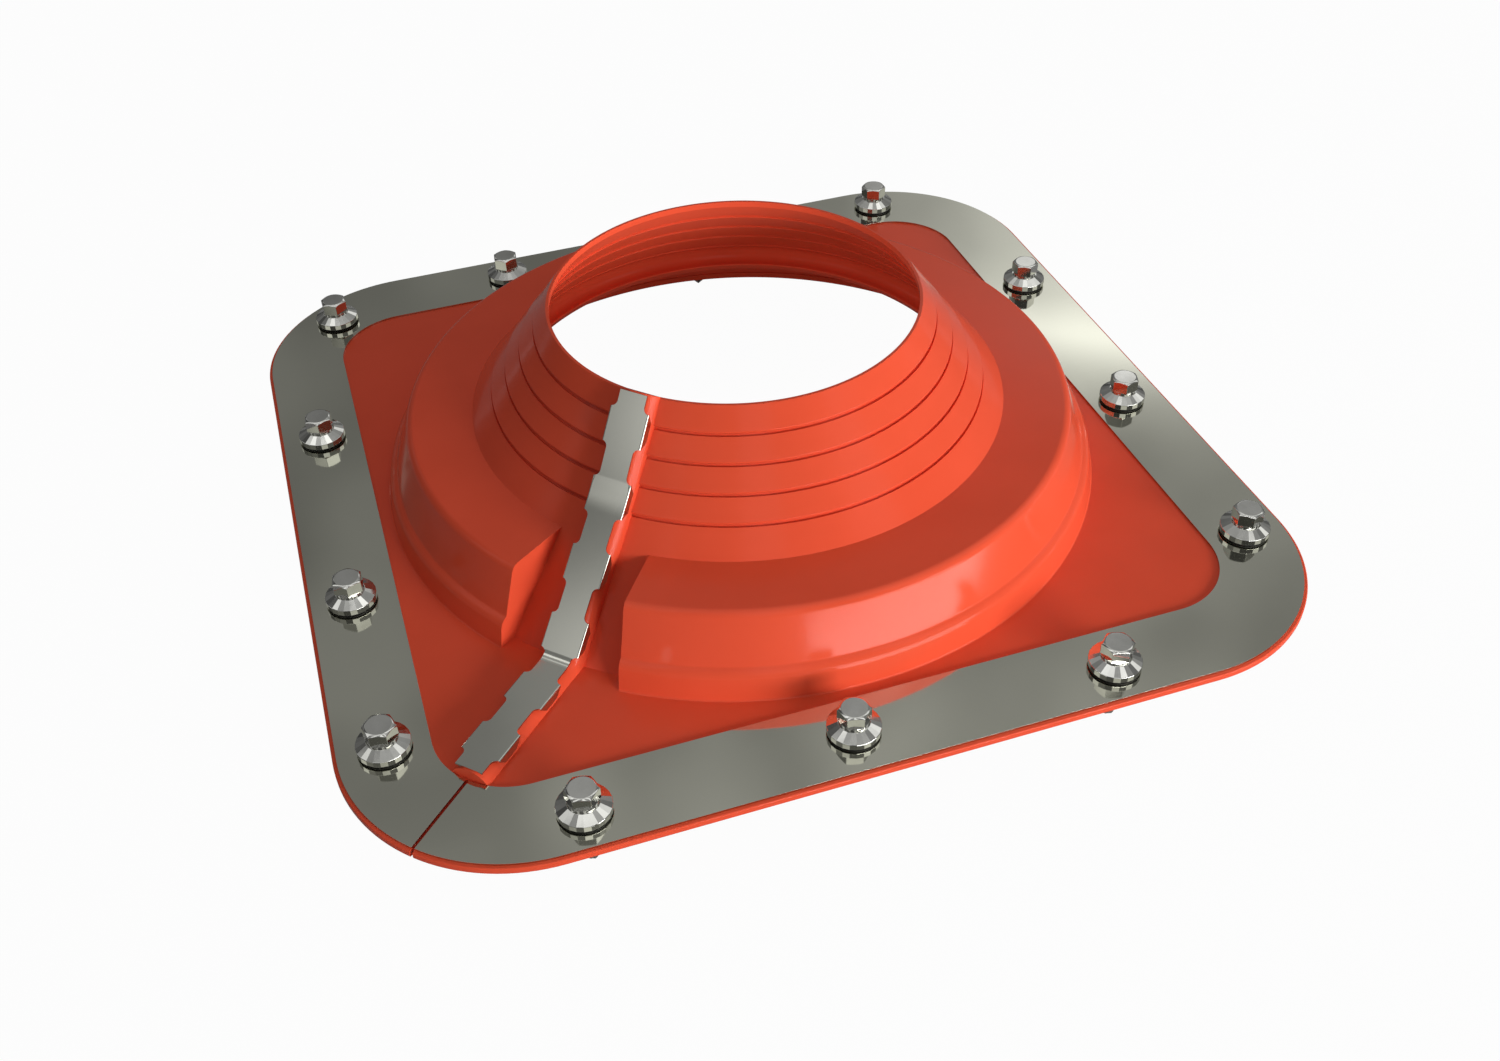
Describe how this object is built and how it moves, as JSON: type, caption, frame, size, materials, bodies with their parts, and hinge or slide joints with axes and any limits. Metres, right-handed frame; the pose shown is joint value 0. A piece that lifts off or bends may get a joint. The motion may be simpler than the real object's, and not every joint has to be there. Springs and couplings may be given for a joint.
{
  "type": "pipe flashing boot",
  "caption": "Square roof flashing with a stepped rubber cone for a pipe, a split metal edge frame, a bent clip over the seam and sealing screws round the edge.",
  "frame": {"origin": "centre of the flange's underside, on the roof plane and on the pipe's axis", "axes": "+Z out of the roof along the pipe, +X and +Y along the flange's sides; the seam runs to the corner at -X -Y"},
  "size_m": [0.3024, 0.3024, 0.0845],
  "materials": {
    "silicone": "smooth, slightly glossy red silicone rubber",
    "frame": "rolled aluminium sheet, smooth and bright",
    "clip": "bent stainless strip, satin",
    "screw": "bright zinc on steel",
    "washer": "bright zinc on pressed steel",
    "seal": "matt black rubber"
  },
  "bodies": {
    "root": {"boot": "silicone", "frame_ring": "frame", "clip_strip": "clip", "screw_01": "screw", "washer_01": "washer", "seal_01": "seal", "screw_02": "screw", "washer_02": "washer", "seal_02": "seal", "screw_03": "screw", "washer_03": "washer", "seal_03": "seal", "screw_04": "screw", "washer_04": "washer", "seal_04": "seal", "screw_05": "screw", "washer_05": "washer", "seal_05": "seal", "screw_06": "screw", "washer_06": "washer", "seal_06": "seal", "screw_07": "screw", "washer_07": "washer", "seal_07": "seal", "screw_08": "screw", "washer_08": "washer", "seal_08": "seal", "screw_09": "screw", "washer_09": "washer", "seal_09": "seal", "screw_10": "screw", "washer_10": "washer", "seal_10": "seal", "screw_11": "screw", "washer_11": "washer", "seal_11": "seal", "screw_12": "screw", "washer_12": "washer", "seal_12": "seal", "screw_13": "screw", "washer_13": "washer", "seal_13": "seal"}
  },
  "joints": []
}
